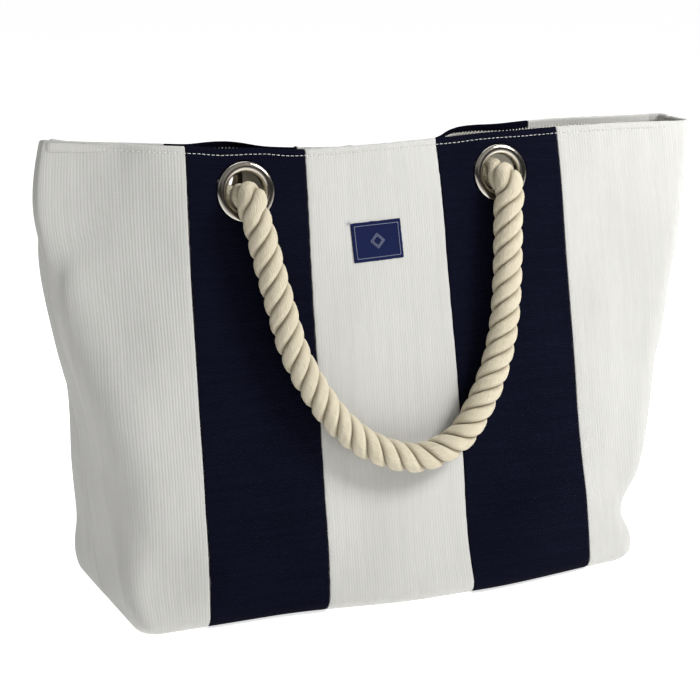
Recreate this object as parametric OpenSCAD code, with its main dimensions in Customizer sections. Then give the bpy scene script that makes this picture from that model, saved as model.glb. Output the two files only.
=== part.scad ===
// Striped canvas beach bag with two twisted rope handles.
// Origin: centre of the base, on the surface it stands on. +X width, -Y front, +Z up.

/* [Bag] */
// Width of the base
base_w = 382; // [340:2:420]
// Depth of the base
base_d = 155; // [130:1:180]
// Width of the mouth, side seam to side seam
top_w = 492; // [450:2:520]
// Depth of the mouth, outside
mouth_d = 54; // [50:1:70]
// Height to the top edge
bag_h = 325; // [300:5:360]
// Radius of the upright corners
corner_r = 17; // [17:1:24]
// Radius of the fold along the bottom edge
fold_r = 10; // [6:1:13]

/* [Cloth] */
// Thickness of the outer canvas
canvas_t = 2; // [1.5:0.1:2.5]
// Thickness of the lining
lining_t = 0.8; // [0.5:0.1:1]
// Height of the turned hem at the mouth
hem_h = 7; // [6:0.5:9]

/* [Stripes] */
// Width of the white stripe in the middle
centre_w = 112; // [100:2:120]
// Width of each navy stripe
navy_w = 92; // [80:2:96]

/* [Eyelets] */
// Outer diameter of an eyelet
eyelet_d = 42; // [40:1:44]
// Diameter of its hole
eyelet_hole = 28; // [26:1:29]
// Distance of the eyelet's centre from the middle of the bag
eyelet_x = 98; // [90:1:106]
// Distance of the eyelet's centre from the top edge
eyelet_drop = 30; // [28:1:36]

/* [Handles] */
// Diameter of the rope
rope_d = 20; // [16:1:20]
// Radius of the knot at each end of a rope
knot_r = 21; // [19:0.5:21]
// Swing of the handles away from hanging down
swing = 0; // [0:1:180]

/* [Label] */
// Width of the woven label
label_w = 38; // [30:1:44]
// Height of the woven label
label_h = 29; // [24:1:34]

/* [Hidden] */

$fn = 48;

white = [0.90, 0.90, 0.87];
navy = [0.07, 0.08, 0.17];
cream = [0.87, 0.84, 0.75];
cotton = [0.88, 0.84, 0.73];
nickel = [0.78, 0.79, 0.80];
blue = [0.10, 0.14, 0.30];

seam_gap = 0.1;      // half the gap between two strips at their seam
air = 0.2;           // gap between two layers
lift = 0.1;          // gap between the canvas and what is fixed onto it
eps = 0.01;
over = 1;            // how far a cutting shape reaches past what it cuts
round_n = 32;        // sides of a rounded corner
turn_in = 0.6;       // what the turned hem adds to the wall
wall_t = canvas_t + air + lining_t;
hem_t = wall_t + turn_in;
inner_seam = centre_w / 2;
outer_seam = inner_seam + navy_w;

// Lean of the front and back faces, tangent to the bottom fold
face_dy = (base_d - mouth_d) / 2 - fold_r;
face_dz = bag_h - fold_r;
tilt = atan2(face_dy, face_dz) + asin(fold_r / norm([face_dy, face_dz]));

barrel_t = 1;        // wall of the eyelet's barrel
barrel_r = eyelet_hole / 2 + barrel_t;
barrel_root = 0.6;   // how far the barrel reaches up into the flange
barrel_end = 0.3;    // and out past the washer
flange_t = 2.2;      // height of the eyelet's domed flange
washer_t = 1.2;
washer_rim = 1;      // how much smaller the washer is than the flange
washer_gap = 0.05;
punch_l = 20;        // length of the punch that cuts the eyelets' holes

rope_r = rope_d / 2;
rope_clear = 0.8;    // gap between the rope and the flange
rope_low = 3.5;      // the rope lies in the lower part of the hole
rope_off = rope_r + flange_t + rope_clear;
rope_drop = eyelet_drop + rope_low;
end_gap = 0.4;       // gap between a rope end and its loop
end_off = rope_off - rope_r - end_gap;
squeeze = 0.1;       // the rope is thinner by this in the hole
bend_in = [[0, 0, end_off], [0, 0, -2], [0, -1, -8], [0, -6, -14]];
knot_shift = 15;     // front knots hang outwards of the back ones
front_knot_drop = 62;
back_knot_drop = 82;
knot_gap = 0.3;      // gap between a knot and the washer
knot_lead = 1.5;     // gap between a knot and the rope that leads to it
knot_off = -wall_t - washer_t - knot_r - knot_gap;
tail_len = 16;
tail_r = rope_r - 1;

// Route of the front rope outside the bag, hanging: [x, distance below the top edge]
loop_route = [[-98, rope_drop], [-95, 55], [-89, 85], [-83, 113], [-76, 142], [-63, 170],
              [-45, 196], [-20, 216], [13, 226], [44, 216], [63, 194], [77, 168],
              [86, 140], [91, 110], [94, 80], [96, 55], [98, rope_drop]];

stitch_pitch = 8;
stitch_l = 5;
stitch_w = 0.9;
stitch_t = 0.5;
stitch_drop = 5.5;   // stitching below the top edge
stitch_n = floor((top_w - 2 * corner_r) / stitch_pitch);
label_x = -2;
label_drop = 71;
label_t = 0.8;
label_inset = 2.6;
label_pitch = 3.2;
label_stitch = [2, 0.6, 0.3];

// ---------- shared shapes ----------

// One rounded lower corner, inset from the outer surface
module foot(inset) {
    r = fold_r - inset;
    rotate_extrude($fn = round_n) translate([corner_r - fold_r, 0]) intersection() {
        circle(r, $fn = round_n);
        translate([0, -r]) square([r, 2 * r]);
    }
}

// The whole bag as a solid, inset from the outer surface
module bag_solid(inset, above = 0) {
    hull() {
        for (sx = [-1, 1], sy = [-1, 1]) {
            translate([sx * (base_w / 2 - corner_r), sy * (base_d / 2 - corner_r), fold_r]) foot(inset);
            translate([sx * (top_w / 2 - corner_r), sy * (mouth_d / 2 - corner_r), bag_h - eps])
                cylinder(r = corner_r - inset, h = eps + above, $fn = round_n);
        }
    }
}

// Everything on one side of the bag between two distances across it
module half_slab(side, x0, x1, z0, z1) {
    translate([x0, side > 0 ? seam_gap : -base_d, z0]) cube([x1 - x0, base_d - seam_gap, z1 - z0]);
}

// Canvas wall, turned in and thicker at the hem
module canvas_wall() {
    difference() {
        bag_solid(0);
        intersection() {
            bag_solid(canvas_t);
            translate([-top_w, -base_d, 0]) cube([2 * top_w, 2 * base_d, bag_h - hem_h]);
        }
        bag_solid(hem_t, over);
    }
}

// Places children on the front (-1) or back (1) face: X across, Y up the face from the
// top edge, Z outwards
module on_face(side, x, drop) {
    mirror([0, side > 0 ? 1 : 0, 0]) translate([0, -mouth_d / 2, bag_h]) rotate([90 - tilt, 0, 0])
        translate([x, -drop, 0]) children();
}

// Cuts the hole for an eyelet's barrel
module punch(side, dir) {
    on_face(side, dir * eyelet_x, eyelet_drop)
        translate([0, 0, -punch_l / 2]) cylinder(r = barrel_r + air, h = punch_l);
}

module strip(side, x0, x1) {
    intersection() {
        canvas_wall();
        half_slab(side, x0 + seam_gap, x1 - seam_gap, -over, bag_h + over);
    }
}

module navy_strip(side, dir) {
    color(navy) difference() {
        strip(side, dir > 0 ? inner_seam : -outer_seam, dir > 0 ? outer_seam : -inner_seam);
        punch(side, dir);
    }
}

module white_outer_strip(side, dir) {
    color(white) strip(side, dir > 0 ? outer_seam : -top_w, dir > 0 ? top_w : -outer_seam);
}

module lining(side) {
    color(cream) difference() {
        intersection() {
            difference() {
                bag_solid(canvas_t + air);
                bag_solid(wall_t, over);
            }
            half_slab(side, -top_w, top_w, 0, bag_h - hem_h - air);
        }
        for (dir = [-1, 1]) punch(side, dir);
    }
}

// Domed flange and barrel of an eyelet, turned about the hole's axis
module eyelet(side, dir) {
    mid_r = (eyelet_d + eyelet_hole) / 4;
    half_w = (eyelet_d - eyelet_hole) / 4;
    color(nickel) on_face(side, dir * eyelet_x, eyelet_drop) rotate_extrude() {
        polygon([for (a = [0:15:180]) [mid_r + half_w * cos(a), lift + flange_t * sin(a)]]);
        translate([eyelet_hole / 2, -wall_t - washer_t - barrel_end])
            square([barrel_t, wall_t + washer_t + barrel_end + barrel_root]);
    }
}

// Flat ring that the barrel is set over, inside the bag
module washer(side, dir) {
    color(nickel) on_face(side, dir * eyelet_x, eyelet_drop)
        translate([0, 0, -wall_t - air]) rotate_extrude()
            translate([barrel_r + washer_gap, -washer_t])
                square([eyelet_d / 2 - washer_rim - barrel_r, washer_t]);
}

// Round tube swept along a route of points, as one closed polyhedron
function unit(v) = v / norm(v);
function heading(p, i) = unit(p[min(i + 1, len(p) - 1)] - p[max(i - 1, 0)]);
module tube(route, r, across, sides = 12) {
    n = len(route);
    rings = [for (i = [0:n - 1]) let (t = heading(route, i), u = unit(cross(across, t)), v = cross(t, u))
        for (k = [0:sides - 1]) route[i] + r * (cos(360 * k / sides) * u + sin(360 * k / sides) * v)];
    polyhedron(points = rings, faces = concat(
        [[for (k = [0:sides - 1]) k]],
        [for (i = [0:n - 2], k = [0:sides - 1]) let (a = i * sides, b = a + sides, m = (k + 1) % sides)
            each [[a + k, b + k, b + m], [a + k, b + m, a + m]]],
        [[for (k = [sides - 1:-1:0]) (n - 1) * sides + k]]));
}

// Rope outside the bag, turned about the line through both eyelets
module rope_loop(side) {
    turn = side > 0 ? -1 : 1;
    color(cotton) on_face(side, 0, rope_drop) translate([0, 0, rope_off]) rotate([-swing, 0, 0])
        tube([for (p = loop_route) [turn * p[0], rope_drop - p[1], 0]], rope_r, [0, 0, 1]);
}

// Rope from the eyelet's hole to the knot
module rope_end(side, dir) {
    knot_drop = side > 0 ? back_knot_drop : front_knot_drop;
    shift = (side > 0 ? -1 : 1) * dir * knot_shift;
    lead = [shift, rope_drop - knot_drop, knot_off];
    way = unit(lead - bend_in[3]);
    color(cotton) on_face(side, dir * eyelet_x, rope_drop)
        tube(concat(bend_in, [lead - way * (knot_r + knot_lead)]), rope_r - squeeze, [1, 0, 0]);
}

// Overhand knot, as the ball that it fills, with its short tail
module rope_knot(side, dir) {
    knot_drop = side > 0 ? back_knot_drop : front_knot_drop;
    shift = (side > 0 ? -1 : 1) * dir * knot_shift;
    color(cotton) on_face(side, dir * eyelet_x + shift, knot_drop) translate([0, 0, knot_off]) {
        sphere(knot_r);
        rotate([90, 0, 0]) cylinder(r = tail_r, h = knot_r + tail_len);
    }
}

module hem_stitching(side) {
    color(white) for (i = [-(stitch_n - 1) / 2:(stitch_n - 1) / 2])
        on_face(side, i * stitch_pitch, stitch_drop)
            translate([-stitch_l / 2, -stitch_w / 2, lift]) cube([stitch_l, stitch_w, stitch_t]);
}

module woven_label() {
    color(blue) on_face(-1, label_x, label_drop)
        translate([-label_w / 2, -label_h / 2, lift]) cube([label_w, label_h, label_t]);
}

// Running stitches along the label's border
module border_stitch(x, y, turned) {
    translate([x, y, 0]) rotate([0, 0, turned]) translate(-[label_stitch.x, label_stitch.y, 0] / 2)
        cube(label_stitch);
}

module label_stitching() {
    across = floor((label_w - 2 * label_inset) / label_pitch);
    down = floor((label_h - 2 * label_inset) / label_pitch);
    color(navy) on_face(-1, label_x, label_drop) translate([0, 0, lift + label_t + lift]) {
        for (i = [0:across - 1], s = [-1, 1])
            border_stitch((i - (across - 1) / 2) * label_pitch, s * (label_h - label_inset) / 2, 0);
        for (i = [0:down - 1], s = [-1, 1])
            border_stitch(s * (label_w - label_inset) / 2, (i - (down - 1) / 2) * label_pitch, 90);
    }
}

// ---------- sub-parts ----------

module front_white_strip_left() { white_outer_strip(-1, -1); }
module front_navy_strip_left() { navy_strip(-1, -1); }
module front_white_strip_centre() { color(white) strip(-1, -inner_seam, inner_seam); }
module front_navy_strip_right() { navy_strip(-1, 1); }
module front_white_strip_right() { white_outer_strip(-1, 1); }
module back_white_strip_left() { white_outer_strip(1, -1); }
module back_navy_strip_left() { navy_strip(1, -1); }
module back_white_strip_centre() { color(white) strip(1, -inner_seam, inner_seam); }
module back_navy_strip_right() { navy_strip(1, 1); }
module back_white_strip_right() { white_outer_strip(1, 1); }

front_white_strip_left();
front_navy_strip_left();
front_white_strip_centre();
front_navy_strip_right();
front_white_strip_right();
back_white_strip_left();
back_navy_strip_left();
back_white_strip_centre();
back_navy_strip_right();
back_white_strip_right();
lining(-1);  // front_lining
lining(1);  // back_lining
hem_stitching(-1);  // front_hem_stitching
hem_stitching(1);  // back_hem_stitching
eyelet(-1, -1);  // front_eyelet_left
eyelet(-1, 1);  // front_eyelet_right
eyelet(1, -1);  // back_eyelet_left
eyelet(1, 1);  // back_eyelet_right
washer(-1, -1);  // front_washer_left
washer(-1, 1);  // front_washer_right
washer(1, -1);  // back_washer_left
washer(1, 1);  // back_washer_right
rope_loop(-1);  // front_rope_loop
rope_loop(1);  // back_rope_loop
rope_end(-1, -1);  // front_rope_end_left
rope_end(-1, 1);  // front_rope_end_right
rope_end(1, -1);  // back_rope_end_left
rope_end(1, 1);  // back_rope_end_right
rope_knot(-1, -1);  // front_rope_knot_left
rope_knot(-1, 1);  // front_rope_knot_right
rope_knot(1, -1);  // back_rope_knot_left
rope_knot(1, 1);  // back_rope_knot_right
woven_label();
label_stitching();
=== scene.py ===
"""Looks of a striped canvas beach bag with two twisted cotton rope handles.

Origin: centre of the base, on the floor. +X across the bag, -Y out of the front face, +Z up. Metres.
"""
import bisect
import math

import bpy
import numpy as np
from mathutils import Matrix, Vector, noise


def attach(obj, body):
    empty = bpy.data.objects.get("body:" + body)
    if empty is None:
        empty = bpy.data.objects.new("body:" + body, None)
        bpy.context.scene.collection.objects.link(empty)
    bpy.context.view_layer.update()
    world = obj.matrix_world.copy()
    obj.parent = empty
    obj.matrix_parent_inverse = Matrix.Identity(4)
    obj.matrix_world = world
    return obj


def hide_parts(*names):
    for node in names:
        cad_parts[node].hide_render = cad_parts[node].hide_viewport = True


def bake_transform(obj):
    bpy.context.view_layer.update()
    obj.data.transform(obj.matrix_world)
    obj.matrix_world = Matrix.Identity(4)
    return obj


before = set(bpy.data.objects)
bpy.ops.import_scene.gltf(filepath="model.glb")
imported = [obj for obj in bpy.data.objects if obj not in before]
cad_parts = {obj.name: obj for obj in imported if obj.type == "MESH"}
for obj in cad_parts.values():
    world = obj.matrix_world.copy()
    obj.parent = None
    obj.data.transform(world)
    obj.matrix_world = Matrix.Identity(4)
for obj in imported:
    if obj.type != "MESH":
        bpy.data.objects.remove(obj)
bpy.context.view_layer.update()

# ---------------------------------------------------------------- sizes
BASE_D, MOUTH_D = 0.155, 0.054
BAG_H, FOLD_R = 0.325, 0.010
CANVAS_T, LINING_T = 0.0018, 0.0006  # thinner than in the part, so that wrinkled sheets stay apart
HEM_H = 0.007
HEM_FACE = 0.0041                    # from the face to the overlock thread on the hem's inner side
LINING_GAP = 0.0009                  # between canvas and lining
SEAM_GAP = 0.0002                    # from a strip's edge to the seam
HALF_GAP = 0.0001                    # from the edge of a front or back half to where the two meet
EYELET_X, EYELET_DROP = 0.098, 0.030
EYELET_R, HOLE_R, FLANGE_T = 0.021, 0.014, 0.0022
WALL_T, WASHER_T = 0.003, 0.0012     # canvas and lining together, and the washer behind them
CLOTH_HOLE_R, LINING_HOLE_R = 0.0175, 0.0170    # cut out under the flanges
ROPE_R, ROPE_STEP = 0.010, 0.0018
KNOT_TAPER = 0.024                   # length over which the rope narrows to its knot
ROPE_OFF = 0.013                     # rope's centreline in front of the face
ROPE_DROP = EYELET_DROP + 0.0035     # it lies in the lower part of the hole
LAY = 0.041                          # one full turn of a strand
KNOT_SHIFT = 0.015
KNOT_DROP = {-1: 0.062, 1: 0.082}
KNOT_OFF = -0.0255
KNOT_SIZE, KNOT_STRAND = 0.0052, 0.0068
# The rope is cut CUT_OFF from the face inside the bag, and in front where it hangs CUT_DROP below the hole
CUT_OFF, CUT_DROP, CUT_FRONT = -0.008, 0.020, 0.005
LABEL_W, LABEL_H, LABEL_X, LABEL_DROP = 0.0384, 0.028, -0.0027, 0.071
LABEL_TURN = math.radians(2)
LABEL_BORDER, LABEL_DIAMOND = 0.0026, 0.0052       # border from the edge, and half the diamond
MOUTH_X, STITCHED_W, OVERLOCKED_W = 0.006, 0.460, 0.440    # middle of the mouth, and length of its seams
STITCH_DROP, STITCH_PITCH, STITCH_L, STITCH_R = 0.0045, 0.0034, 0.0020, 0.00026
ZIGZAG_STEP, ZIGZAG_H, ZIGZAG_R = 0.0013, 0.0013, 0.00060

BASE_LAP = 0.0005                    # the base runs this far under the walls
BASE_RUN = 0.36                      # length of cloth from the mouth down to the base
BASE_STEPS, LINING_STEPS = 14, 10    # rows of faces over half the base
CORNER_R, CORNER_TIGHTER = 0.012, 0.003            # upright corners at the foot, and less at the mouth
CORNER_SOFTER = {-1: 0.018, 1: 0.004}              # added halfway up, at the left and the right end
SWELL, SWELL_X, SWELL_H = 0.015, 0.045, 0.10       # of the front's foot: how far, where and how high
SWELL_WAY = Vector((-0.45, -1, 0))
CALM_R = 0.034                       # the cloth lies flat this far round an eyelet
BROAD_WAVE, FINE_WAVE, PULL = 0.0030, 0.0013, 0.0016       # of the cloth near the ropes
LOOSE_BROAD, LOOSE_FINE, LOOSE_PUSH = 0.0045, 0.0025, 0.0030    # added where the cloth is free
MOST_PUSH = 0.0022                   # keeps the cloth clear of the ropes

# Lean of the front and back, which are straight from the fold along the bottom edge to the mouth
TILT = (math.atan2((BASE_D - MOUTH_D) / 2 - FOLD_R, BAG_H - FOLD_R)
        + math.asin(FOLD_R / math.hypot((BASE_D - MOUTH_D) / 2 - FOLD_R, BAG_H - FOLD_R)))

SIDES = {"front": -1, "back": 1}
DIRS = {"left": -1, "right": 1}

# Distance of the side seam from the middle of the bag, by height: (z, distance)
LEFT_END = [(0, 0.197), (0.022, 0.2025), (0.06, 0.2045), (0.10, 0.208), (0.15, 0.2125), (0.20, 0.2235),
            (0.25, 0.2315), (0.29, 0.236), (BAG_H, 0.231)]
RIGHT_END = [(0, 0.191), (0.018, 0.192), (0.040, 0.186), (0.070, 0.2045), (0.13, 0.2195), (0.25, 0.245),
             (BAG_H, 0.259)]
# Seams between the stripes, from left to right: (x at the base, x at the mouth)
SEAMS = {-1: [(-0.147, -0.139), (-0.0585, -0.052), (0.056, 0.050), (0.152, 0.146)],
         1: [(-0.147, -0.142), (-0.0585, -0.046), (0.056, 0.050), (0.152, 0.146)]}
# How the top edge rises and falls across the bag: (x, rise)
FRONT_RISE = [(-0.24, 0.011), (-0.138, 0.0035), (-0.056, -0.0035), (0.05, -0.0023), (0.145, 0.0005),
              (0.20, 0.0010), (0.25, 0.0)]
BACK_RISE = [(-0.24, 0.011), (-0.14, 0.001), (-0.098, -0.003), (0, -0.0085), (0.057, -0.008),
             (0.098, -0.003), (0.146, 0.0005), (0.25, 0.0)]
# How far the back's top edge leans in: (x, lean)
BACK_LEAN = [(-0.24, 0), (-0.14, 0.012), (-0.098, 0.009), (-0.03, 0.025), (0.05, 0.018), (0.098, 0.007),
             (0.146, 0.009), (0.25, 0.004)]
# Route of the front rope outside the bag, hanging: (x, drop), as in the part
LOOP_ROUTE = [(-0.098, ROPE_DROP), (-0.095, 0.055), (-0.089, 0.085), (-0.083, 0.113), (-0.076, 0.142),
              (-0.063, 0.170), (-0.045, 0.196), (-0.020, 0.216), (0.013, 0.226), (0.044, 0.216),
              (0.063, 0.194), (0.077, 0.168), (0.086, 0.140), (0.091, 0.110), (0.094, 0.080),
              (0.096, 0.055), (0.098, ROPE_DROP)]


# ---------------------------------------------------------------- camera, floor and light
def make_camera():
    """Looks at the bag from its front left and a little above."""
    yaw, pitch, roll, distance = math.radians(23.3), math.radians(13.5), math.radians(0.5), 1.463
    target = Vector((-0.0076, 0, 0.1678))
    away = Vector((-math.sin(yaw) * math.cos(pitch), -math.cos(yaw) * math.cos(pitch), math.sin(pitch)))
    right = (-away).cross(Vector((0, 0, 1))).normalized()
    up = right.cross(-away)
    turn = Matrix.Rotation(-roll, 3, away)
    camera = bpy.data.objects.new("camera", bpy.data.cameras.new("camera"))
    camera.data.sensor_width = 36
    camera.data.lens = 102.9
    camera.data.clip_end = 60
    axes = Matrix((turn @ right, turn @ up, away)).transposed()
    camera.matrix_world = Matrix.Translation(target + away * distance) @ axes.to_4x4()
    bpy.context.collection.objects.link(camera)
    bpy.context.scene.camera = camera


def area_light(name, place, aim, size, power):
    light = bpy.data.objects.new(name, bpy.data.lights.new(name, "AREA"))
    light.data.shape = "DISK"
    light.data.size = size
    light.data.energy = power
    light.location = place
    light.rotation_euler = (Vector(aim) - Vector(place)).to_track_quat("-Z", "Y").to_euler()
    bpy.context.collection.objects.link(light)


def make_world():
    """White studio overhead with a darker band above the floor, which the metal reflects."""
    world = bpy.data.worlds.new("studio")
    world.use_nodes = True
    tree = world.node_tree
    place = tree.nodes.new("ShaderNodeTexCoord")
    parts = tree.nodes.new("ShaderNodeSeparateXYZ")
    ramp = tree.nodes.new("ShaderNodeValToRGB")
    tree.links.new(place.outputs["Generated"], parts.inputs[0])
    tree.links.new(parts.outputs[2], ramp.inputs[0])
    tree.links.new(ramp.outputs[0], tree.nodes["Background"].inputs[0])
    stops = [(0.0, 0.75), (0.10, 0.10), (0.30, 0.16), (0.42, 0.95)]
    for i, (at, value) in enumerate(stops):
        stop = ramp.color_ramp.elements[i] if i < 2 else ramp.color_ramp.elements.new(at)
        stop.position = at
        stop.color = (value, value, value, 1)
    tree.nodes["Background"].inputs[1].default_value = 0.34
    bpy.context.scene.world = world
    bpy.context.scene.view_settings.view_transform = "Standard"


# ---------------------------------------------------------------- materials
class Shader:
    """A node material with a Principled BSDF and short helpers for its nodes."""

    def __init__(self, name, **values):
        self.mat = bpy.data.materials.new(name)
        self.mat.use_nodes = True
        self.mat["slot"] = name
        self.tree = self.mat.node_tree
        self.bsdf = self.tree.nodes["Principled BSDF"]
        for key, value in values.items():
            self.bsdf.inputs[key.replace("_", " ")].default_value = value

    def node(self, kind, inputs=(), **props):
        made = self.tree.nodes.new(kind)
        for key, value in props.items():
            setattr(made, key, value)
        for key, value in dict(inputs).items():
            if isinstance(value, bpy.types.NodeSocket):
                self.tree.links.new(value, made.inputs[key])
            else:
                made.inputs[key].default_value = value
        return made

    def math(self, operation, a, b=0.0, c=0.0):
        return self.node("ShaderNodeMath", {0: a, 1: b, 2: c}, operation=operation).outputs[0]

    def blended(self, parts):
        """Sum of values, each with its share."""
        total = 0.0
        for value, share in parts:
            total = self.math("MULTIPLY_ADD", value, share, total)
        return total

    def uv(self, name="UVMap"):
        return self.node("ShaderNodeUVMap", uv_map=name).outputs[0]

    def split(self, vector):
        return self.node("ShaderNodeSeparateXYZ", {0: vector}).outputs

    def stretch(self, vector, scale):
        return self.node("ShaderNodeVectorMath", {0: vector, 1: scale}, operation="MULTIPLY").outputs[0]

    def noise(self, vector, scale, detail=3.0, rough=0.55):
        values = {"Vector": vector, "Scale": scale, "Detail": detail, "Roughness": rough}
        return self.node("ShaderNodeTexNoise", values).outputs[0]

    def rib(self, along, pitch, wobble=0.0):
        """0 in the grooves and 1 on the ribs of a cloth whose ribs are pitch apart."""
        angle = self.math("ADD", self.math("MULTIPLY", along, math.pi / pitch), wobble)
        return self.math("ABSOLUTE", self.math("SINE", angle))

    def ramp(self, value, stops):
        made = self.node("ShaderNodeValToRGB", {0: value})
        ramp = made.color_ramp
        for i, (place, colour) in enumerate(stops):
            stop = ramp.elements[i] if i < 2 else ramp.elements.new(place)
            stop.position = place
            stop.color = (*colour, 1)
        return made.outputs[0]

    def mix(self, share, a, b):
        made = self.node("ShaderNodeMix", {0: share}, data_type="RGBA")
        for socket, value in ((6, a), (7, b)):
            if isinstance(value, bpy.types.NodeSocket):
                self.tree.links.new(value, made.inputs[socket])
            else:
                made.inputs[socket].default_value = (*value, 1)
        return made.outputs[2]

    def colour(self, socket):
        self.tree.links.new(socket, self.bsdf.inputs["Base Color"])

    def roughness(self, socket):
        self.tree.links.new(socket, self.bsdf.inputs["Roughness"])

    def bump(self, height, distance, strength=1.0):
        made = self.node("ShaderNodeBump", {"Height": height, "Distance": distance, "Strength": strength})
        self.tree.links.new(made.outputs[0], self.bsdf.inputs["Normal"])


def ribbed_canvas(name, light, dark, pitch, ribs_run_up, rib_depth, shine):
    """Cotton canvas with ribs, cross threads, slubs and a little soiling."""
    s = Shader(name, Specular_IOR_Level=shine)
    uv = s.uv()
    parts = s.split(uv)
    across, along = (parts[0], parts[1]) if ribs_run_up else (parts[1], parts[0])
    wobble = s.math("MULTIPLY", s.noise(s.stretch(uv, (40, 40, 1)), 1.0, 2.0), 0.35)
    rib = s.rib(across, pitch, wobble)
    cross = s.rib(along, pitch * 0.55)
    slub = s.noise(s.stretch(uv, (900, 60, 1) if ribs_run_up else (60, 900, 1)), 1.0, 3.0, 0.6)
    streak = s.noise(s.stretch(uv, (260, 9, 1) if ribs_run_up else (9, 260, 1)), 1.0, 4.0, 0.6)
    patch = s.noise(s.stretch(uv, (14, 14, 1)), 1.0, 3.0)
    tone = s.blended([(rib, 0.08), (slub, 0.36), (streak, 0.42), (patch, 0.30)])
    s.colour(s.ramp(tone, [(0.25, dark), (0.85, light)]))
    s.roughness(s.math("ADD", s.math("MULTIPLY", slub, 0.12), 0.82))
    s.bump(s.blended([(rib, 1.0), (cross, 0.35), (slub, 0.8)]), rib_depth, 0.9)
    return s.mat


def plain_weave(name, light, dark, pitch, depth):
    """Plain cloth: warp and weft of the same thread."""
    s = Shader(name, Specular_IOR_Level=0.06)
    uv = s.uv()
    parts = s.split(uv)
    weave = s.math("MULTIPLY", s.rib(parts[0], pitch), s.rib(parts[1], pitch))
    speck = s.noise(s.stretch(uv, (700, 700, 1)), 1.0, 3.0)
    patch = s.noise(s.stretch(uv, (20, 20, 1)), 1.0, 3.0)
    tone = s.blended([(weave, 0.35), (speck, 0.45), (patch, 0.3)])
    s.colour(s.ramp(tone, [(0.25, dark), (0.85, light)]))
    s.roughness(s.math("ADD", s.math("MULTIPLY", speck, 0.12), 0.82))
    s.bump(s.math("ADD", weave, speck), depth, 0.8)
    return s.mat


def thread(name, light, dark):
    s = Shader(name, Sheen_Weight=0.2, Sheen_Roughness=0.4)
    speck = s.noise(s.node("ShaderNodeTexCoord").outputs["Object"], 2200, 3.0)
    s.colour(s.ramp(speck, [(0.3, dark), (0.7, light)]))
    s.roughness(s.math("ADD", s.math("MULTIPLY", speck, 0.2), 0.6))
    s.bump(speck, 0.0002, 0.8)
    return s.mat


def cotton_rope():
    """Laid cotton: UVMap runs along the rope and across one strand, yarns holds the length and the angle
    round the rope, because the yarns of a laid rope run nearly along it."""
    s = Shader("cotton_rope", Sheen_Weight=0.08, Sheen_Roughness=0.6, Specular_IOR_Level=0.15)
    across = s.split(s.uv())[1]
    edge = s.math("ABSOLUTE", s.math("SUBTRACT", s.math("MULTIPLY", across, 2.0), 1.0))
    groove = s.math("POWER", edge, 7.0)
    yarns = s.uv("yarns")
    wobble = s.math("MULTIPLY", s.noise(s.stretch(yarns, (60, 3, 1)), 1.0, 2.0), 9.0)
    lines = s.rib(s.split(yarns)[1], 0.155, wobble)
    fibre = s.noise(s.stretch(yarns, (260, 26, 1)), 1.0, 4.0, 0.65)
    fuzz = s.noise(s.stretch(yarns, (1500, 60, 1)), 1.0, 3.0, 0.7)
    patch = s.noise(s.stretch(yarns, (30, 0.6, 1)), 1.0, 3.0)
    tone = s.blended([(lines, 0.10), (fibre, 0.42), (fuzz, 0.32), (patch, 0.25)])
    body = s.ramp(tone, [(0.3, (0.50, 0.435, 0.305)), (0.8, (0.77, 0.705, 0.55))])
    # The grooves between the strands are darkened to a deep brown: painted shade.
    s.colour(s.mix(groove, body, (0.19, 0.145, 0.08)))
    s.roughness(s.math("ADD", s.math("MULTIPLY", fibre, 0.1), 0.85))
    s.bump(s.blended([(lines, 0.45), (fibre, 0.8), (fuzz, 0.9)]), 0.0007, 0.9)
    return s.mat


def nickel():
    """UVMap's second value runs from the hole, at 0, to the ring's outer edge, at 1."""
    s = Shader("nickel", Metallic=1.0)
    place = s.node("ShaderNodeTexCoord").outputs["Object"]
    smear = s.noise(place, 60, 3.0)
    scratch = s.noise(s.stretch(place, (1, 1, 9)), 260, 3.0)
    # The ramp paints the domed ring's reflections into its colour: painted shade in the hole, painted
    # highlights near the hole and at the outer edge, and a painted dark reflected band between them.
    painted_reflection_rings = [(0.0, (0.24, 0.215, 0.175)), (0.08, (0.56, 0.53, 0.47)), (0.24, (0.50, 0.47, 0.41)),
            (0.42, (0.13, 0.115, 0.095)), (0.72, (0.17, 0.155, 0.13)), (0.93, (0.55, 0.52, 0.47))]
    s.colour(s.mix(s.math("MULTIPLY", smear, 0.3), s.ramp(s.split(s.uv())[1], painted_reflection_rings), (0.34, 0.31, 0.27)))
    s.roughness(s.math("ADD", s.math("MULTIPLY", scratch, 0.14), 0.10))
    s.bump(scratch, 0.00003, 0.3)
    return s.mat


def floor_paper():
    """White paper, lit a little from within so that it stays even far behind the bag."""
    s = Shader("floor_paper", Roughness=0.9, Emission_Color=(1, 1, 1, 1), Emission_Strength=0.72)
    fibre = s.noise(s.node("ShaderNodeTexCoord").outputs["Object"], 3.0, 2.0)
    s.colour(s.ramp(fibre, [(0.3, (0.93, 0.93, 0.93)), (0.7, (0.95, 0.95, 0.95))]))
    return s.mat


# ---------------------------------------------------------------- meshes
def mesh_object(name, points, faces, material):
    data = bpy.data.meshes.new(name)
    data.from_pydata([tuple(p) for p in points], [], faces)
    data.materials.append(material)
    data.shade_smooth()
    made = bpy.data.objects.new(name, data)
    bpy.context.collection.objects.link(made)
    return made


def part_of(obj, body, *nodes):
    """The piece rides on the body and stands for the CAD nodes."""
    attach(obj, body)
    if nodes:
        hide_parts(*nodes)
    return obj


def set_uv(data, name, values):
    """values holds one pair for each face corner."""
    layer = data.uv_layers.get(name) or data.uv_layers.new(name=name)
    layer.data.foreach_set("uv", np.asarray(values, float).ravel())


def grid_faces(rows, cols, first=0, flip=False):
    faces = []
    for j in range(rows - 1):
        for i in range(cols - 1):
            a = first + j * cols + i
            quad = (a, a + 1, a + cols + 1, a + cols)
            faces.append(quad[::-1] if flip else quad)
    return faces


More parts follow.
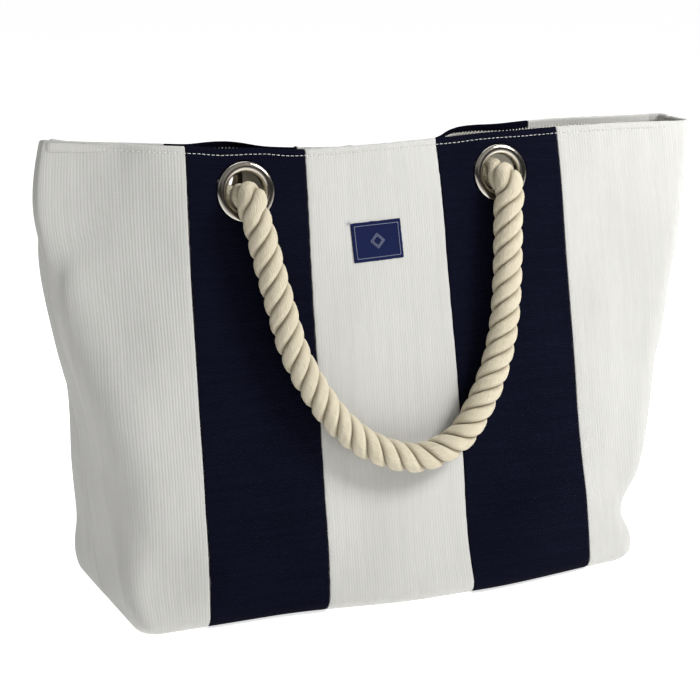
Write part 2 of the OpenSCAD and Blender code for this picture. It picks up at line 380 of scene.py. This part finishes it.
def cloth_object(name, points, faces, uv, material, thickness):
    """A cloth sheet with its thickness on the inner side."""
    obj = mesh_object(name, points, faces, material)
    set_uv(obj.data, "UVMap", [uv[v] for face in faces for v in face])
    solid = obj.modifiers.new("thickness", "SOLIDIFY")
    solid.thickness = thickness
    solid.offset = -1
    obj.modifiers.new("smooth", "SUBSURF").levels = 1
    obj.modifiers["smooth"].render_levels = 1
    return obj


def tube(points, radius, sides=6):
    """Points and faces of a thin closed tube along a line, with tapered ends."""
    line = [Vector(p) for p in points]
    ways = [(line[min(i + 1, len(line) - 1)] - line[max(i - 1, 0)]).normalized() for i in range(len(line))]
    rings = [(line[0] - ways[0] * radius * 0.6, 0.5 * radius, ways[0])]
    rings += [(p, radius, way) for p, way in zip(line, ways)]
    rings.append((line[-1] + ways[-1] * radius * 0.6, 0.5 * radius, ways[-1]))
    out, faces = [], []
    for place, r, way in rings:
        u = way.cross(Vector((0.31, 0.17, 0.93))).normalized()
        v = way.cross(u)
        for k in range(sides):
            a = 2 * math.pi * k / sides
            out.append(place + r * (math.cos(a) * u + math.sin(a) * v))
    for i in range(len(rings) - 1):
        for k in range(sides):
            m = (k + 1) % sides
            faces.append((i * sides + k, i * sides + m, (i + 1) * sides + m, (i + 1) * sides + k))
    faces.append(tuple(range(sides - 1, -1, -1)))
    faces.append(tuple((len(rings) - 1) * sides + k for k in range(sides)))
    return out, faces


def sewn(name, runs, radius, material, *nodes):
    """Stitches, one tube for each run of points, as one piece on the bag."""
    points, faces = [], []
    for run in runs:
        more, shapes = tube(run, radius)
        faces += [tuple(v + len(points) for v in face) for face in shapes]
        points += more
    return part_of(mesh_object(name, points, faces, material), "bag", *nodes)


# ---------------------------------------------------------------- the bag's surface
def through(outline, at):
    """Smooth curve through the outline's points (place, value)."""
    places, values = zip(*outline)
    at = min(max(at, places[0]), places[-1])
    i = min(bisect.bisect_right(places, at), len(places) - 1) - 1
    span = places[i + 1] - places[i]

    def slope(k):
        a, b = max(k - 1, 0), min(k + 1, len(places) - 1)
        return (values[b] - values[a]) / (places[b] - places[a]) * span

    t = (at - places[i]) / span
    return ((1 + 2 * t) * (1 - t) ** 2 * values[i] + t * (1 - t) ** 2 * slope(i)
            + t * t * (3 - 2 * t) * values[i + 1] + t * t * (t - 1) * slope(i + 1))


def ease(value, start, end):
    t = min(1.0, max(0.0, (value - start) / (end - start)))
    return t * t * (3 - 2 * t)


def half_depth(z):
    if z < FOLD_R * (1 + math.sin(TILT)):
        return BASE_D / 2 - FOLD_R + math.sqrt(max(0.0, FOLD_R ** 2 - (z - FOLD_R) ** 2))
    return MOUTH_D / 2 + (BAG_H - z) * math.tan(TILT)


def half_width(direction, z):
    tuck = FOLD_R - math.sqrt(max(0.0, FOLD_R ** 2 - (min(z, FOLD_R) - FOLD_R) ** 2))
    return through(RIGHT_END if direction > 0 else LEFT_END, z) - tuck


def corner(direction, z):
    """Radius of the upright corners, softest halfway up and most of all on the left."""
    middle = ease(z, 0.01, 0.11) * (1 - ease(z, 0.17, BAG_H))
    return CORNER_R - CORNER_TIGHTER * ease(z, 0.05, BAG_H) + CORNER_SOFTER[direction] * middle


def seam(side, k, z):
    low, high = SEAMS[side][k]
    return low + (high - low) * z / BAG_H


def swell(side, x, y, z):
    """How the foot of the front bulges out, right of the middle: forwards and a little to the left."""
    if side > 0:
        return Vector((0, 0, 0))
    beside = ease(abs(x - SWELL_X), 0.02, 0.145)
    reach = SWELL * abs(y) / (BASE_D / 2) * (1 - ease(z, 0.0, SWELL_H)) * (1 - beside)
    return SWELL_WAY * reach


def soft(side, x, y, z):
    """Where the soft cloth hangs, for a point of the plain shape."""
    high = ease(z, 0.10, BAG_H)
    y *= 1 - 0.80 * high * ease(-x, 0.125, 0.238)    # the mouth's left end is pinched
    y *= 1 - 0.10 * ease(z, 0.0, 0.06) * ease(-x, 0.135, 0.23)    # and the wall below it a little
    y *= 1 + (0.30 if side < 0 else -0.18) * high * ease(x, 0.15, 0.25)    # the right end flares forwards
    calm = 1 - math.exp(-(from_hole(x, z) / CALM_R) ** 6)    # 0 under the eyelets
    lip = ease(z, 0.282, BAG_H) * calm
    if side > 0:
        lean = through(BACK_LEAN, x) * ease(z, 0.23, BAG_H) * calm
        y -= min(lean, max(0.0, y - 0.004))    # short of the bag's middle
    rise = through(BACK_RISE if side > 0 else FRONT_RISE, x) * lip
    apart = ease(abs(y), 0.0, 0.02)    # 0 at the side seams, where front and back meet
    loose = max(ease(abs(x), 0.14, 0.18), 1 - ease(z, 0.05, 0.09))    # 1 away from the ropes
    wave = noise.noise(Vector((x * 8, y * 8 + side * apart, z * 6))) * (BROAD_WAVE + LOOSE_BROAD * loose)
    wave += noise.noise(Vector((x * 22 + 4, y * 22, z * 15))) * (FINE_WAVE + LOOSE_FINE * loose)
    pull = noise.noise(Vector((x * 12 + z * 9, side * 3 * apart, z * 3 - x * 5))) * PULL
    push = min(MOST_PUSH + LOOSE_PUSH * loose, wave + pull) * calm * ease(z, 0.0, 0.035)
    end = ease(abs(x), 0.17, 0.20)
    out = math.copysign(push * 0.8, x) * end
    forward = side * push * (1 - 0.5 * end) * apart
    return Vector((x + out, y + forward, z + rise)) + swell(side, x, y, z)


def face_point(side, x, drop, off):
    """A point x across, drop down the face from the top edge and off in front of it."""
    return Vector((x,
                   side * (MOUTH_D / 2 + drop * math.sin(TILT) + off * math.cos(TILT)),
                   BAG_H - drop * math.cos(TILT) + off * math.sin(TILT)))


def on_cloth(side, x, drop, off):
    """The same for what is sewn to the soft cloth."""
    z = BAG_H - drop * math.cos(TILT)
    return soft(side, x, side * half_depth(z), z) + Vector((0, side * math.cos(TILT), math.sin(TILT))) * off


def from_hole(x, z):
    """Distance from the nearer eyelet's axis, along the face."""
    return math.hypot(abs(x) - EYELET_X, (z - BAG_H) / math.cos(TILT) + EYELET_DROP)


def with_holes(faces, points, radius):
    """The faces that no point within radius of an eyelet's axis belongs to."""
    skip = {i for i, p in enumerate(points) if from_hole(p[0], p[2]) < radius}
    return [face for face in faces if not skip.intersection(face)]


def wall_rows(top, step=0.0036):
    """Heights down the wall from top and round the fold along the bottom edge."""
    rows = []
    z = top
    while z > FOLD_R * 1.4:
        rows.append(z)
        z -= step
    return rows + [FOLD_R * (1 - math.sin(math.radians(13 * i))) * 1.1 for i in range(7)]


def strip_rows():
    """(height, inset) from the hem's inner edge over the roll and down to the bottom fold."""
    roll = 0.0018
    rows = [(BAG_H - HEM_H, 2 * roll), (BAG_H - HEM_H * 0.6, 2 * roll), (BAG_H - roll * 1.1, 2 * roll)]
    for i in range(1, 8):
        angle = math.pi * i / 8
        rows.append((BAG_H - roll + roll * math.sin(angle), roll + roll * math.cos(angle)))
    return rows + [(z, 0.0) for z in wall_rows(BAG_H - roll)]


SEAM_STEPS = [0, 0.0005, 0.0012, 0.0022]    # columns beside a seam, by distance from it


def seam_dip(distance, depth):
    """Cloth sinks into a seam."""
    return depth * math.exp(-(distance / 0.0011) ** 2)


def run_lengths(rows):
    """How far down the cloth each row lies."""
    at = [(half_depth(z) - inset, z) for z, inset in rows]
    steps = [math.dist(a, b) for a, b in zip(at, at[1:])]
    return np.concatenate([[0], np.cumsum(steps)])


def flat_strip(name, side, k, material, dip):
    """The strip between seams k and k + 1, from the hem down the face and under half the base."""
    rows = strip_rows()
    width = seam(side, k + 1, 0) - seam(side, k, 0)
    middle = np.linspace(SEAM_STEPS[-1], width - SEAM_STEPS[-1], 26)
    cols = SEAM_STEPS[:-1] + list(middle) + [width - e for e in SEAM_STEPS[-2::-1]]
    points, uv = [], []
    runs = run_lengths(rows)
    for (z, inset), run in zip(rows, runs):
        lo, hi = seam(side, k, z) + SEAM_GAP, seam(side, k + 1, z) - SEAM_GAP
        for c in cols:
            x = lo + (hi - lo) * c / width
            edge = min(x - lo, hi - x)
            ragged = noise.noise(Vector((x * 40, z * 350, side))) * 0.0007 * math.exp(-edge / 0.001)
            y = side * (half_depth(z) - inset - seam_dip(edge, dip))
            points.append(soft(side, x + ragged, y, z))
            uv.append((c, run))
    for j in range(1, BASE_STEPS + 1):
        y = half_depth(0) * (1 - j / BASE_STEPS) + HALF_GAP
        for c in cols:
            x = seam(side, k, 0) + SEAM_GAP + (width - 2 * SEAM_GAP) * c / width
            flat = Vector((x, side * y, seam_dip(min(c, width - c), dip * 0.5)))
            points.append(flat + swell(side, x, y, 0))
            uv.append((c, runs[-1] + half_depth(0) - y))
    faces = grid_faces(len(rows) + BASE_STEPS, len(cols), flip=side < 0)
    if material["slot"] == "navy_canvas":
        faces = with_holes(faces, points, CLOTH_HOLE_R)
    return cloth_object(name, points, faces, uv, material, CANVAS_T)


def half_ring(direction, z, inset, x0, n_flat, n_arc=9, n_side=9):
    """Places from x0 round the corner to the side seam, at one height: (x, y, distance along)."""
    hw, hd = half_width(direction, z) - inset, half_depth(z) - inset
    r = max(0.001, corner(direction, z) - inset)
    flat = [x0 + e for e in SEAM_STEPS]
    flat += [flat[-1] + (hw - r - flat[-1]) * (i + 1) / n_flat for i in range(n_flat)]
    out = [(x, hd, x - x0) for x in flat]
    for i in range(1, n_arc + 1):
        a = math.pi / 2 * i / n_arc
        out.append((hw - r + r * math.sin(a), hd - r + r * math.cos(a), flat[-1] - x0 + r * a))
    y0, start = hd - r, flat[-1] - x0 + r * math.pi / 2
    ends = [y0 * (1 - i / n_side) for i in range(1, n_side)] + [*SEAM_STEPS[:0:-1], HALF_GAP]
    return out + [(hw, min(y0, y), start + y0 - min(y0, y)) for y in ends]


def base_rows(direction, side, x0, z, n_x, n_y, inset=0.0):
    """Grid over half the base from x0 to the end of the bag, out to just under the wall's last row."""
    foot = max(z, wall_rows(BAG_H)[-1])
    hw, hd = half_width(direction, foot) - inset + BASE_LAP, half_depth(foot) - inset + BASE_LAP
    r = corner(direction, foot) - inset
    edge = [(x0 + (hw - r - x0) * i / n_x, hd) for i in range(n_x + 1)]
    edge += [(hw - r + r * math.sin(math.radians(10 * i)), hd - r + r * math.cos(math.radians(10 * i)))
             for i in range(1, 10)]
    points, uv = [], []
    for j in range(n_y + 1):
        for x, far in edge:
            y = HALF_GAP + (far - HALF_GAP) * (1 - j / n_y)
            points.append(Vector((direction * x, side * y, z)) + swell(side, direction * x, y, 0))
            uv.append((x - x0, BASE_RUN + hd - y))
    return points, uv


def outer_strip(name, side, direction, material, dip):
    """A white strip that wraps round the corner to the side seam, with its part of the base."""
    rows = strip_rows()
    k = 3 if direction > 0 else 0
    points, uv = [], []
    for (z, inset), run in zip(rows, run_lengths(rows)):
        ring = half_ring(direction, z, inset, abs(seam(side, k, z)) + SEAM_GAP, 14)
        for x, y, s in ring:
            sunk = seam_dip(y, dip * 1.2) if s > 0.02 and y < 0.01 else 0
            points.append(soft(side, direction * (x - sunk), side * (y - seam_dip(s, dip)), z))
            uv.append((s, run))
    flip = side * direction < 0
    faces = grid_faces(len(rows), len(ring), flip=flip)
    more, more_uv = base_rows(direction, side, abs(seam(side, k, 0)) + SEAM_GAP, 0.0, 10, BASE_STEPS)
    faces += grid_faces(BASE_STEPS + 1, len(more) // (BASE_STEPS + 1), len(points), flip=flip)
    return cloth_object(name, points + more, faces, uv + more_uv, material, CANVAS_T)


def lining_sheet(name, side, material):
    """Half of the lining: front or back, both ends and its part of the base."""
    inset = CANVAS_T + LINING_GAP
    rows = [(max(z, inset), inset) for z in wall_rows(BAG_H - HEM_H * 0.75, 0.0052)]
    points, uv = [], []
    for (z, inset), run in zip(rows, run_lengths(rows)):
        left = half_ring(-1, z, inset, HALF_GAP, 34)
        right = half_ring(1, z, inset, HALF_GAP, 34)
        ring = [(-x, y, -s) for x, y, s in reversed(left)] + right
        for x, y, s in ring:
            points.append(soft(side, x, side * y, z))
            uv.append((s, run))
    faces = grid_faces(len(rows), len(ring), flip=side < 0)
    faces = with_holes(faces, points, LINING_HOLE_R)
    for direction in (-1, 1):
        more, more_uv = base_rows(direction, side, HALF_GAP, inset, 20, LINING_STEPS, inset)
        cols = len(more) // (LINING_STEPS + 1)
        faces += grid_faces(LINING_STEPS + 1, cols, len(points), flip=side * direction < 0)
        points += more
        uv += more_uv
    return cloth_object(name, points, faces, uv, material, LINING_T)


# ---------------------------------------------------------------- stitching and label
def hem_stitches(side):
    """Running stitches below the top edge, each sinking into the cloth at its ends."""
    n = round(STITCHED_W / STITCH_PITCH)
    runs = []
    for i in range(n):
        x = MOUTH_X + (i - (n - 1) / 2) * STITCH_PITCH
        jitter = 0.00015 * noise.noise(Vector((x * 900, side, 0)))
        places = [(-0.5, -0.0001), (-0.25, 0.0002), (0.25, 0.0002), (0.5, -0.0001)]
        runs.append([on_cloth(side, x + t * STITCH_L, STITCH_DROP + jitter, off) for t, off in places])
    return runs


def hem_zigzag(side):
    """One thread that zig-zags over the lower edge of the hem, inside the bag."""
    n = round(OVERLOCKED_W / ZIGZAG_STEP)
    run = []
    for i in range(n):
        x = MOUTH_X + (i - (n - 1) / 2) * ZIGZAG_STEP
        z = BAG_H - HEM_H + ZIGZAG_H * (1 if i % 2 else -1)
        run.append(soft(side, x, side * (half_depth(z) - HEM_FACE), z))
    return [run]


def label_point(u, v, off):
    """A point u and v from the middle of the label, which is sewn on slightly turned."""
    x = LABEL_X + u * math.cos(LABEL_TURN) - v * math.sin(LABEL_TURN)
    drop = LABEL_DROP - (u * math.sin(LABEL_TURN) + v * math.cos(LABEL_TURN))
    return on_cloth(-1, x, drop, off)


def woven_label(material):
    cols, rows = 40, 30
    points, uv = [], []
    for j in range(rows + 1):
        for i in range(cols + 1):
            u, v = (i / cols - 0.5) * LABEL_W, (0.5 - j / rows) * LABEL_H
            rim = min(LABEL_W / 2 - abs(u), LABEL_H / 2 - abs(v))
            fray = 0.0003 * noise.noise(Vector((u * 900, v * 900, 0))) * math.exp(-rim / 0.0006)
            points.append(label_point(u + fray, v + fray, 0.0011 - 0.0005 * math.exp(-rim / 0.0009)))
            uv.append((u, v))
    faces = grid_faces(rows + 1, cols + 1, flip=True)
    return cloth_object("woven_label_cloth", points, faces, uv, material, 0.0006)


def label_stitches():
    """Running stitches round the border, and a plain diamond in the middle."""
    a, b = LABEL_W / 2 - LABEL_BORDER, LABEL_H / 2 - LABEL_BORDER
    loops = [([(-a, b), (a, b), (a, -b), (-a, -b), (-a, b)], 0.0016)]
    for size in (LABEL_DIAMOND, LABEL_DIAMOND * 0.72):
        loops.append(([(-size, 0), (0, size), (size, 0), (0, -size), (-size, 0)], 0.0011))
    runs = []
    for corners, pitch in loops:
        for (x0, y0), (x1, y1) in zip(corners, corners[1:]):
            n = max(2, round(math.dist((x0, y0), (x1, y1)) / pitch))
            for i in range(n):
                ends = ((i + 0.12) / n, (i + 0.5) / n, (i + 0.88) / n)
                runs.append([label_point(x0 + (x1 - x0) * t, y0 + (y1 - y0) * t, 0.0013) for t in ends])
    return runs


def label_tuft():
    """Loose thread ends at the label's upper left corner."""
    runs = []
    for i in range(5):
        way = math.radians(105 + 26 * i)
        reach = 0.0016 + 0.0004 * (i % 3)
        runs.append([label_point(reach * t * math.cos(way) - LABEL_W / 2,
                                 LABEL_H / 2 + reach * t * math.sin(way),
                                 0.0008 + 0.0005 * t) for t in (0, 0.5, 1)])
    return runs


# ---------------------------------------------------------------- metal
def lathe(name, side, x, profile, material, node, turns=96):
    """A ring turned about an eyelet's axis from its profile of (radius, distance in front of the face)."""
    points, faces = [], []
    n = len(profile)
    for k in range(turns):
        a = 2 * math.pi * k / turns
        points += [face_point(side, x + r * math.cos(a), EYELET_DROP - r * math.sin(a), off)
                   for r, off in profile]
    for k in range(turns):
        for i in range(n):
            a, b = k * n, (k + 1) % turns * n
            quad = (a + i, b + i, b + (i + 1) % n, a + (i + 1) % n)
            faces.append(quad if side < 0 else quad[::-1])
    ring = mesh_object(name, points, faces, material)
    set_uv(ring.data, "UVMap", [(v // n / turns, (profile[v % n][0] - HOLE_R) / (EYELET_R - HOLE_R))
                                for face in faces for v in face])
    return part_of(ring, "bag", node)


def eyelet_profile():
    """Down the barrel's inside, over its rolled end, up its outside and over the domed flange."""
    end = -WALL_T - WASHER_T - 0.0003
    mid, half = (EYELET_R + HOLE_R) / 2, (EYELET_R - HOLE_R) / 2
    dome = [(mid - half * math.cos(math.radians(a)), 0.0001 + FLANGE_T * math.sin(math.radians(a)) ** 0.8)
            for a in range(0, 181, 9)]
    under = [(EYELET_R - 0.0008, -0.0001), (HOLE_R + 0.0012, -0.0001)]
    barrel = [(HOLE_R + 0.0010, end + 0.0004), (HOLE_R + 0.0005, end), (HOLE_R, end + 0.0004)]
    return dome + under + barrel


def washer_profile():
    inner, outer, top = HOLE_R + 0.00105, EYELET_R - 0.001, -WALL_T - 0.0002
    low, lip = top - WASHER_T, 0.0003
    return [(inner, top), (outer - lip, top), (outer, top - lip), (outer, low + lip), (outer - lip, low),
            (inner + lip, low), (inner, low + lip)]


# ---------------------------------------------------------------- rope
STRAND_SIDES = 16    # points across each strand
# Places round the rope as a share of a turn, closer together in the grooves, and as a share of their strand
ROUND = np.array([(k + 0.5 + 0.5 * math.copysign(abs(t) ** 0.8, t)) / 3 for k in range(3)
                  for t in np.linspace(-1, 1, STRAND_SIDES, endpoint=False)])
ACROSS = (ROUND * 3) % 1.0


def smooth_line(points, step=0.002):
    """Catmull-Rom curve through the points, resampled evenly."""
    p = [Vector(q) for q in points]
    p = [p[0] * 2 - p[1]] + p + [p[-1] * 2 - p[-2]]
    dense = []
    for i in range(1, len(p) - 2):
        a, b, c, d = p[i - 1:i + 3]
        for k in range(16):
            t = k / 16
            dense.append(0.5 * (2 * b + (c - a) * t + (2 * a - 5 * b + 4 * c - d) * t * t
                                + (3 * b - a - 3 * c + d) * t ** 3))
    dense.append(p[-2])
    dense = np.array([tuple(q) for q in dense])
    length = np.concatenate([[0], np.cumsum(np.linalg.norm(np.diff(dense, axis=0), axis=1))])
    n = max(2, round(length[-1] / step))
    at = np.linspace(0, length[-1], n + 1)
    return np.stack([np.interp(at, length, dense[:, k]) for k in range(3)], axis=1)


def rope_rings(line, radii, phase=0.0):
    """Three strands laid round a line: a ring of points for each point of the line, their angles, the
    length so far and their normals."""
    tangent = np.gradient(line, axis=0)
    tangent /= np.linalg.norm(tangent, axis=1)[:, None]
    u = np.cross(tangent[0], (0.3, 0.9, 0.1))
    profile = 1.07 - 0.33 * np.abs(2 * ACROSS - 1) ** 3.2    # round strands with grooves between them
    run = np.concatenate([[0], np.cumsum(np.linalg.norm(np.diff(line, axis=0), axis=1))])
    rings, angles = [], []
    for place, way, r, s in zip(line, tangent, radii, run):
        u = u - way * np.dot(u, way)
        u /= np.linalg.norm(u)
        v = np.cross(way, u)
        angle = 2 * math.pi * (ROUND + phase + s / LAY)
        rings.append(place + np.outer(r * profile * np.cos(angle), u)
                     + np.outer(r * profile * np.sin(angle), v))
        angles.append(angle)
    rings = np.array(rings)
    out = np.cross(np.roll(rings, -1, axis=1) - np.roll(rings, 1, axis=1), np.gradient(rings, axis=0))
    return rings, angles, run, out / np.linalg.norm(out, axis=2)[:, :, None]


def rope_piece(name, laid, first, last, material):
    """The rope from one ring to another, closed at both ends. It keeps the normals of the uncut rope, so
    that no line shows where two pieces meet."""
    rings, angles, run, normals = (part[first:last] for part in laid)
    n, cols = len(rings), len(ROUND)
    faces, c_uv, c_yarn = [], [], []
    for i in range(n - 1):
        for k in range(cols):
            m = (k + 1) % cols
            faces.append((i * cols + k, i * cols + m, (i + 1) * cols + m, (i + 1) * cols + k))
            end = 1.0 if (k + 1) % STRAND_SIDES == 0 else ACROSS[m]
            turn = 2 * math.pi if m == 0 else 0
            c_uv += [(run[i], ACROSS[k]), (run[i], end), (run[i + 1], end), (run[i + 1], ACROSS[k])]
            c_yarn += [(run[i], angles[i][k]), (run[i], angles[i][m] + turn),
                       (run[i + 1], angles[i + 1][m] + turn), (run[i + 1], angles[i + 1][k])]
    for i, order in ((0, range(cols - 1, -1, -1)), (n - 1, range(cols))):
        faces.append(tuple(i * cols + k for k in order))
        c_uv += [(run[i], 0.5)] * cols
        c_yarn += [(run[i], angles[i][k]) for k in order]
    obj = mesh_object(name, np.concatenate(rings), faces, material)
    set_uv(obj.data, "UVMap", c_uv)
    set_uv(obj.data, "yarns", c_yarn)
    for cap in obj.data.polygons[-2:]:
        cap.use_smooth = False
    obj.data.normals_split_custom_set_from_vertices(np.concatenate(normals).tolist())
    return obj


def with_round_tip(line, radii):
    """The line and its radii, carried on past the last point to a rounded tip."""
    way, tip, r = line[-1] - line[-3], line[-1], radii[-1]
    way = way / np.linalg.norm(way)
    steps = np.array([0.25, 0.5, 0.7, 0.85, 0.94, 0.99])
    line = np.concatenate([line, tip + np.outer(steps * r, way)])
    return line, np.concatenate([radii, r * np.sqrt(1 - steps ** 2)])


def rope_route(side):
    """One rope from knot to knot, through both eyelets: (x, drop, distance in front of the face)."""
    turn = 1 if side < 0 else -1
    loop = [(turn * x, drop, ROPE_OFF) for x, drop in LOOP_ROUTE[1:-1]]
    ends = []
    for x, bulge in ((-EYELET_X, 0), (EYELET_X, 0.008)):    # the rope bulges up behind one hole
        ends.append([(x, KNOT_DROP[side] - 0.008, KNOT_OFF),
                     (x - bulge / 2, ROPE_DROP + 0.011 - bulge, -0.021),
                     (x - bulge / 2, ROPE_DROP + 0.003 - bulge, -0.012), (x, ROPE_DROP - bulge / 4, -0.002),
                     (x, ROPE_DROP + 0.0005, 0.006),
                     (x, ROPE_DROP + 0.004, 0.0115), (x, ROPE_DROP + 0.012, ROPE_OFF)])
    return ends[0] + loop[::turn] + ends[1][::-1]


def overhand_knot(name, side, direction, material):
    """A tight overhand knot: an opened trefoil, with one end up to the eyelet and one down as a tail."""
    way = direction if side < 0 else -direction
    middle = (direction * EYELET_X + way * KNOT_SHIFT, KNOT_DROP[side], KNOT_OFF)
    s, gap = KNOT_SIZE, 0.22
    around = [gap + (2 * math.pi - 2 * gap) * i / 40 for i in range(41)]
    bends = [((2 + math.cos(3 * t)) * math.cos(2 * t) * s, (2 + math.cos(3 * t)) * math.sin(2 * t) * s,
              math.sin(3 * t) * s) for t in around]
    route = [(2.9 * s, 4.2 * s, 0)] + bends[::-1] + [(3.1 * s, -3.6 * s, 0), (3.1 * s, -6.6 * s, 0)]
    line = smooth_line([face_point(side, middle[0] - way * across, middle[1] - up, middle[2] + out)
                        for across, up, out in route])
    line, radii = with_round_tip(line, np.full(len(line), KNOT_STRAND))
    return part_of(rope_piece(name, rope_rings(line, radii), 0, len(line), material), "bag",
                   name.replace("_overhand_knot_", "_rope_knot_"))


def tie_rope(face, side, cotton):
    """The rope is laid once and cut into what hangs, what bends at the eyelets and what stays inside."""
    route = smooth_line(rope_route(side), ROPE_STEP)
    line = np.array([tuple(face_point(side, *p)) for p in route])
    n = len(line)
    inner = np.minimum(np.arange(n), np.arange(n)[::-1]) * ROPE_STEP
    radii = ROPE_R * (KNOT_STRAND / ROPE_R + (1 - KNOT_STRAND / ROPE_R) * np.clip(inner / KNOT_TAPER, 0, 1))
    laid = rope_rings(line, radii)
    out = np.flatnonzero(route[:, 2] > CUT_OFF)
    hangs = np.flatnonzero((route[:, 1] > ROPE_DROP + CUT_DROP) & (route[:, 2] > CUT_FRONT))
    cuts = [0, out[0], hangs[0], hangs[-1], out[-1], n - 1]
    pieces = [rope_piece(f"{face}_{name}", laid, first, last + 1, cotton)
              for name, first, last in zip(("rope_inside_left", "rope_bend_left", "rope", "rope_bend_right",
                                            "rope_inside_right"), cuts, cuts[1:])]
    in_left, bend_left, loop, bend_right, in_right = pieces
    part_of(loop, f"{face}_handle", f"{face}_rope_loop")
    part_of(in_left, "bag", f"{face}_rope_end_left")
    part_of(in_right, "bag", f"{face}_rope_end_right")
    for bend in (bend_left, bend_right):
        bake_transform(bend)
    knots = [overhand_knot(f"{face}_overhand_knot_{hand}", side, direction, cotton)
             for hand, direction in DIRS.items()]


# ---------------------------------------------------------------- the bag
def sew_bag():
    white = ribbed_canvas("white_canvas", (0.515, 0.512, 0.492), (0.405, 0.401, 0.381),
                          pitch=0.0021, ribs_run_up=True, rib_depth=0.00009, shine=0.1)
    navy = ribbed_canvas("navy_canvas", (0.0050, 0.0055, 0.0150), (0.0012, 0.0013, 0.0045),
                         pitch=0.0015, ribs_run_up=False, rib_depth=0.0004, shine=0.03)
    cream = plain_weave("cream_lining", (0.52, 0.49, 0.42), (0.38, 0.355, 0.29), 0.0012, 0.0002)
    stitch = thread("white_thread", (0.62, 0.62, 0.59), (0.48, 0.48, 0.45))
    for face, side in SIDES.items():
        sheets = [(flat_strip(f"{face}_cloth_white_centre", side, 1, white, 0.0005), (0.112, 0.410))]
        for hand, direction in DIRS.items():
            first_seam = 0 if direction < 0 else 2
            navy_strip = flat_strip(f"{face}_cloth_navy_{hand}", side, first_seam, navy, 0.0002)
            outer = outer_strip(f"{face}_cloth_white_{hand}", side, direction, white, 0.0005)
            sheets += [(navy_strip, (0.092, 0.410)), (outer, (0.135, 0.400))]
        for obj, flat in sheets:
            node = obj.name.replace("_cloth_white_", "_white_strip_")
            part_of(obj, "bag", node.replace("_cloth_navy_", "_navy_strip_"))
        lining = lining_sheet(f"{face}_lining_cloth", side, cream)
        part_of(lining, "bag", f"{face}_lining")
        sewn(f"{face}_hem_stitches", hem_stitches(side), STITCH_R, stitch, f"{face}_hem_stitching")
        sewn(f"{face}_hem_zigzag", hem_zigzag(side), ZIGZAG_R, stitch)


def sew_label():
    cloth = plain_weave("label_cloth", (0.012, 0.018, 0.070), (0.005, 0.008, 0.036), 0.0006, 0.0002)
    light = thread("label_thread", (0.26, 0.29, 0.38), (0.16, 0.18, 0.26))
    label = woven_label(cloth)
    part_of(label, "bag", "woven_label")
    stitches = sewn("label_border_and_diamond", label_stitches(), 0.0002, light, "label_stitching")
    tuft = sewn("label_thread_tuft", label_tuft(), 0.00012, light)


def set_eyelets():
    metal = nickel()
    for face, side in SIDES.items():
        for hand, direction in DIRS.items():
            x = direction * EYELET_X
            lathe(f"{face}_eyelet_ring_{hand}", side, x, eyelet_profile(), metal, f"{face}_eyelet_{hand}")
            lathe(f"{face}_washer_ring_{hand}", side, x, washer_profile(), metal, f"{face}_washer_{hand}")


def main():
    make_camera()
    make_world()
    area_light("key", (0.66, -0.64, 0.90), (0.10, 0, 0.15), 0.45, 13.8)
    area_light("front", (0.5, -2.4, 1.5), (0, 0, 0.15), 1.6, 5)
    area_light("top", (0.1, 0.6, 2.2), (0, 0, 0.1), 1.8, 16)
    corners = [(x, y, -0.0005) for x, y in ((-15, -15), (15, -15), (15, 25), (-15, 25))]
    floor = mesh_object("floor", corners, [(0, 1, 2, 3)], floor_paper())
    cotton = cotton_rope()
    for face, side in SIDES.items():
        tie_rope(face, side, cotton)
    sew_bag()
    sew_label()
    set_eyelets()


main()
